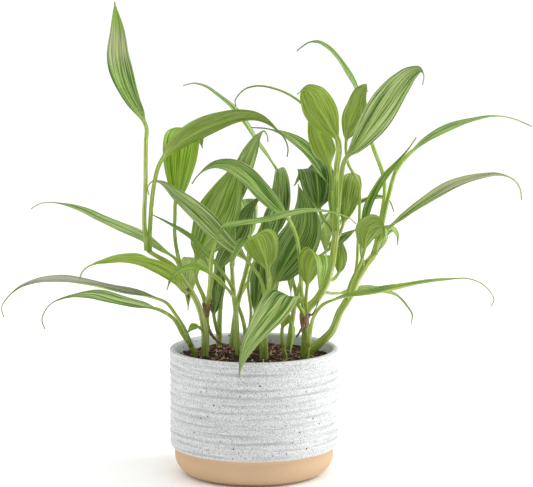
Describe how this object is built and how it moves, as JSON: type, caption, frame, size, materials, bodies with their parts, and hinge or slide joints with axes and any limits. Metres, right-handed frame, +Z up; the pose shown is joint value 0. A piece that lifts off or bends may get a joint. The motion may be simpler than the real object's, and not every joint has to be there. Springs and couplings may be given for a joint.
{
  "type": "potted pothos",
  "caption": "House plant with long pointed silver-streaked leaves on slender stems, standing in soil in a ribbed ceramic pot with a bare rounded foot.",
  "frame": {"origin": "centre of the pot's flat underside", "axes": "+Z up along the pot's axis, -Y towards the viewer of the plant's front, +X to that viewer's right"},
  "size_m": [0.5275, 0.2892, 0.473],
  "materials": {
    "pot": "white speckled satin glaze above, bare matte tan foot",
    "soil": "dark moist peat with bark bits",
    "foliage": "glossy green upper sides with silver streaks, paler satin undersides"
  },
  "bodies": {
    "root": {"pot": "pot", "soil": "soil", "stem_left_tall": "foliage", "stem_left_low": "foliage", "stem_curl": "foliage", "stem_front_arch": "foliage", "stem_streak": "foliage", "stem_small_front": "foliage", "stem_right_tall": "foliage", "stem_right_spread": "foliage", "stem_right_low": "foliage", "stem_centre_left": "foliage", "stem_centre_mid": "foliage", "stem_back_long": "foliage", "stem_back_left": "foliage", "stem_back_right": "foliage"}
  },
  "joints": []
}
